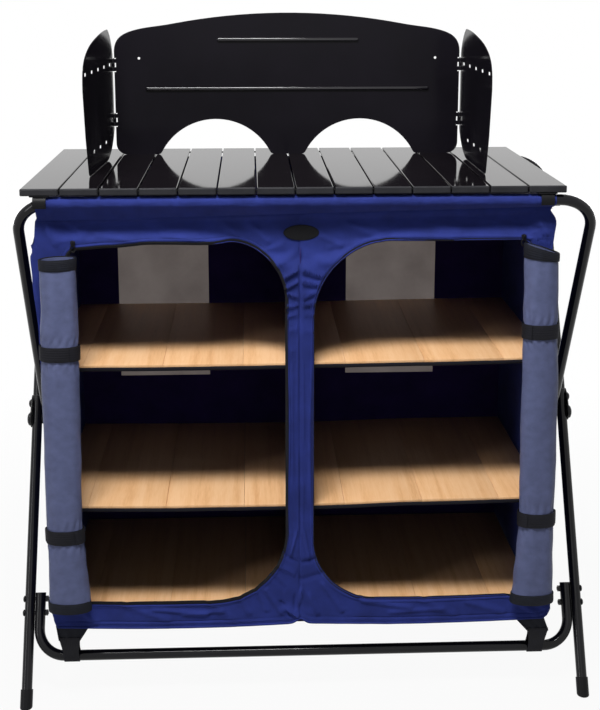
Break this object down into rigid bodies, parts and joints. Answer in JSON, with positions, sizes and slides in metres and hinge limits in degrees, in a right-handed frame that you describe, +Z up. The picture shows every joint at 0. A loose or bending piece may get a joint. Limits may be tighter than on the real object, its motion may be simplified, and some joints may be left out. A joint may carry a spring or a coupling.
{
  "type": "folding camping kitchen stand",
  "caption": "Folding camping kitchen stand: slatted worktop with a winged wind shield, on a crossed tube frame that holds a cloth shelf cabinet.",
  "frame": {"origin": "on the floor, under the middle of the stand", "axes": "+X along the worktop to the right of someone facing the doors, +Y from the doors to the rear wall, +Z up"},
  "size_m": [1.0592, 0.5208, 1.2349],
  "materials": {
    "frame_paint": "gloss black enamel on steel tube",
    "tube_end": "black moulded end cap",
    "fittings": "black steel plate and bolts",
    "bright_steel": "zinc plated",
    "slat_paint": "black painted aluminium slat",
    "slat_plastic": "dark grey moulded plastic",
    "screen_paint": "gloss black sheet",
    "elastic_cord": "black elastic cord",
    "navy_cloth": "navy polyester cloth",
    "lining_cloth": "grey blue coated back of the cloth",
    "webbing": "black webbing and binding",
    "window_film": "grey translucent window",
    "board_wood": "beech faced board",
    "zip": "black coil and sliders",
    "patch": "plain black oval patch"
  },
  "bodies": {
    "outer_frame": {"outer_upper_tube": "frame_paint", "outer_lower_legs": "frame_paint", "outer_joiners": "bright_steel", "outer_feet": "tube_end", "front_bar": "frame_paint", "front_bar_bolts": "fittings", "pivot_plates": "fittings", "pivot_bolts": "fittings", "pivot_spacers": "tube_end", "bar_straps": "webbing"},
    "inner_frame": {"inner_upper_tube": "frame_paint", "inner_lower_legs": "frame_paint", "inner_joiners": "bright_steel", "inner_feet": "tube_end"},
    "front": {"front_panel": "navy_cloth", "front_hem": "navy_cloth", "front_gussets": "navy_cloth", "door_roll_left": "lining_cloth", "door_roll_right": "lining_cloth", "roll_end_bands": "webbing", "roll_straps": "webbing", "zip_tapes": "zip", "zip_sliders": "zip", "badge_patch": "patch"},
    "zip_left": {"zip_pull_left": "zip"},
    "zip_right": {"zip_pull_right": "zip"},
    "rear": {"rear_wall": "navy_cloth", "rear_hem": "navy_cloth", "rear_windows": "window_film", "side_walls": "navy_cloth", "top_panel": "navy_cloth"},
    "core": {"divider": "navy_cloth"},
    "shelf_top": {"shelf_boards_top": "board_wood", "shelf_cloth_top": "webbing"},
    "shelf_middle": {"shelf_boards_middle": "board_wood", "shelf_cloth_middle": "webbing"},
    "shelf_bottom": {"shelf_boards_bottom": "board_wood", "floor_panel": "navy_cloth"},
    "worktop": {"slats": "slat_paint", "end_slats": "slat_paint", "slat_end_caps": "slat_plastic", "slat_cords": "elastic_cord", "hooks_front": "slat_plastic", "hooks_rear": "slat_plastic", "hook_rivets": "bright_steel"},
    "screen": {"screen_back": "screen_paint", "screen_hinge_pins": "screen_paint"},
    "screen_wing_left": {"screen_left": "screen_paint"},
    "screen_wing_right": {"screen_right": "screen_paint"}
  },
  "joints": [
    {"name": "frame_fold", "type": "hinge", "parent": "outer_frame", "child": "inner_frame", "pos_m": [0, 0.0075, 0.4655], "axis": [-1, 0, 0], "range_deg": [0, 44], "deforming": ["front_panel", "front_hem", "front_gussets", "door_roll_left", "door_roll_right", "roll_end_bands", "roll_straps", "zip_tapes", "zip_sliders", "badge_patch", "rear_wall", "rear_hem", "rear_windows", "side_walls", "top_panel", "divider", "floor_panel"]},
    {"name": "front_hang", "type": "hinge", "parent": "inner_frame", "child": "front", "pos_m": [0, -0.2305, 0.931], "axis": [1, 0, 0], "range_deg": [0, 22]},
    {"name": "rear_hang", "type": "hinge", "parent": "outer_frame", "child": "rear", "pos_m": [0, 0.2455, 0.931], "axis": [-1, 0, 0], "range_deg": [0, 22]},
    {"name": "core_hang", "type": "hinge", "parent": "outer_frame", "child": "core", "pos_m": [0, 0.0075, 0.4655], "axis": [-1, 0, 0], "range_deg": [0, 22]},
    {"name": "shelf_top_tilt", "type": "hinge", "parent": "core", "child": "shelf_top", "pos_m": [0, 0.0075, 0.634], "axis": [-1, 0, 0], "range_deg": [0, 84]},
    {"name": "shelf_middle_tilt", "type": "hinge", "parent": "core", "child": "shelf_middle", "pos_m": [0, 0.0075, 0.371], "axis": [-1, 0, 0], "range_deg": [0, 84]},
    {"name": "shelf_bottom_tilt", "type": "hinge", "parent": "core", "child": "shelf_bottom", "pos_m": [0, 0.0075, 0.157], "axis": [-1, 0, 0], "range_deg": [0, 84]},
    {"name": "worktop_lift", "type": "slide", "parent": "outer_frame", "child": "worktop", "axis": [0, 0, 1], "range_m": [0, 0.4]},
    {"name": "screen_lift", "type": "slide", "parent": "worktop", "child": "screen", "axis": [0, 0, 1], "range_m": [0, 0.15]},
    {"name": "left_wing_turn", "type": "hinge", "parent": "screen", "child": "screen_wing_left", "pos_m": [-0.3625, 0.1706, 1.08], "axis": [0, 0, 1], "range_deg": [-85, 85]},
    {"name": "right_wing_turn", "type": "hinge", "parent": "screen", "child": "screen_wing_right", "pos_m": [0.3205, 0.1706, 1.08], "axis": [0, 0, 1], "range_deg": [-85, 85]},
    {"name": "left_pull_swing", "type": "hinge", "parent": "front", "child": "zip_left", "pos_m": [-0.398, -0.2234, 0.864], "axis": [-1, 0, 0], "range_deg": [0, 80]},
    {"name": "right_pull_swing", "type": "hinge", "parent": "front", "child": "zip_right", "pos_m": [0.372, -0.2234, 0.869], "axis": [-1, 0, 0], "range_deg": [0, 80]}
  ],
  "couplings": [
    {"joint": "front_hang", "follows": "frame_fold", "ratio": 0.5},
    {"joint": "rear_hang", "follows": "frame_fold", "ratio": 0.5},
    {"joint": "core_hang", "follows": "frame_fold", "ratio": 0.5},
    {"joint": "shelf_top_tilt", "follows": "frame_fold", "ratio": 1.9091},
    {"joint": "shelf_middle_tilt", "follows": "frame_fold", "ratio": 1.9091},
    {"joint": "shelf_bottom_tilt", "follows": "frame_fold", "ratio": 1.9091},
    {"joint": "worktop_lift", "follows": "frame_fold", "m_per_rad": 0.52087}
  ]
}
